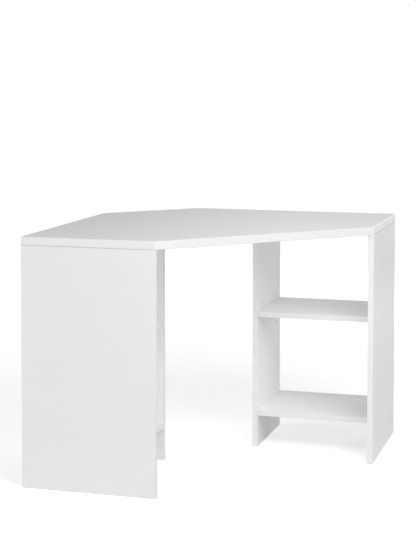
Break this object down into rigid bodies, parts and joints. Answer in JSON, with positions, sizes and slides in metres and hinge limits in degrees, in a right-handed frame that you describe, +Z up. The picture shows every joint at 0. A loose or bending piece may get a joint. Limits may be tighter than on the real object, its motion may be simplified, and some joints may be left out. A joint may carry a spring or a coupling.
{
  "type": "corner desk",
  "caption": "Free-standing white corner desk with a diagonal-fronted top on two open shelf units, each with a fixed lower shelf and a loose upper shelf on pins.",
  "frame": {"origin": "on the floor, at the centre of the 950 mm square that holds the footprint", "axes": "+Z up; +X along one wall towards the right unit's end; +Y towards that wall; the wall corner is at -X +Y and the user sits at the diagonal edge, at +X -Y"},
  "size_m": [0.95, 0.95, 0.745],
  "materials": {
    "white_laminate": "white semi-gloss melamine laminate on chipboard",
    "nickel": "nickel-plated steel",
    "steel": "bright zinc-plated steel",
    "zinc": "die-cast zinc, tumbled",
    "beech": "raw fluted beech"
  },
  "bodies": {
    "carcass": {"desktop": "white_laminate", "left_inner_top_bolt_front": "steel", "left_inner_top_bolt_rear": "steel", "left_inner_top_cam_front": "zinc", "left_inner_top_cam_rear": "zinc", "left_inner_top_dowel": "beech", "left_inner_upright": "white_laminate", "left_lower_shelf": "white_laminate", "left_outer_top_bolt_front": "steel", "left_outer_top_bolt_rear": "steel", "left_outer_top_cam_front": "zinc", "left_outer_top_cam_rear": "zinc", "left_outer_top_dowel": "beech", "left_outer_upright": "white_laminate", "left_shelf_inner_bolt_front": "steel", "left_shelf_inner_bolt_rear": "steel", "left_shelf_inner_cam_front": "zinc", "left_shelf_inner_cam_rear": "zinc", "left_shelf_inner_dowel": "beech", "left_shelf_outer_bolt_front": "steel", "left_shelf_outer_bolt_rear": "steel", "left_shelf_outer_cam_front": "zinc", "left_shelf_outer_cam_rear": "zinc", "left_shelf_outer_dowel": "beech", "left_shelf_pin_inner_front": "nickel", "left_shelf_pin_inner_rear": "nickel", "left_shelf_pin_outer_front": "nickel", "left_shelf_pin_outer_rear": "nickel", "right_inner_top_bolt_front": "steel", "right_inner_top_bolt_rear": "steel", "right_inner_top_cam_front": "zinc", "right_inner_top_cam_rear": "zinc", "right_inner_top_dowel": "beech", "right_inner_upright": "white_laminate", "right_lower_shelf": "white_laminate", "right_outer_top_bolt_front": "steel", "right_outer_top_bolt_rear": "steel", "right_outer_top_cam_front": "zinc", "right_outer_top_cam_rear": "zinc", "right_outer_top_dowel": "beech", "right_outer_upright": "white_laminate", "right_shelf_inner_bolt_front": "steel", "right_shelf_inner_bolt_rear": "steel", "right_shelf_inner_cam_front": "zinc", "right_shelf_inner_cam_rear": "zinc", "right_shelf_inner_dowel": "beech", "right_shelf_outer_bolt_front": "steel", "right_shelf_outer_bolt_rear": "steel", "right_shelf_outer_cam_front": "zinc", "right_shelf_outer_cam_rear": "zinc", "right_shelf_outer_dowel": "beech", "right_shelf_pin_inner_front": "nickel", "right_shelf_pin_inner_rear": "nickel", "right_shelf_pin_outer_front": "nickel", "right_shelf_pin_outer_rear": "nickel"},
    "left_upper_shelf": {"left_upper_shelf": "white_laminate"},
    "right_upper_shelf": {"right_upper_shelf": "white_laminate"}
  },
  "joints": [
    {"name": "left_upper_shelf_lift", "type": "slide", "parent": "carcass", "child": "left_upper_shelf", "axis": [0, 0, 1], "range_m": [0, 0.27]},
    {"name": "right_upper_shelf_lift", "type": "slide", "parent": "carcass", "child": "right_upper_shelf", "axis": [0, 0, 1], "range_m": [0, 0.27]}
  ]
}
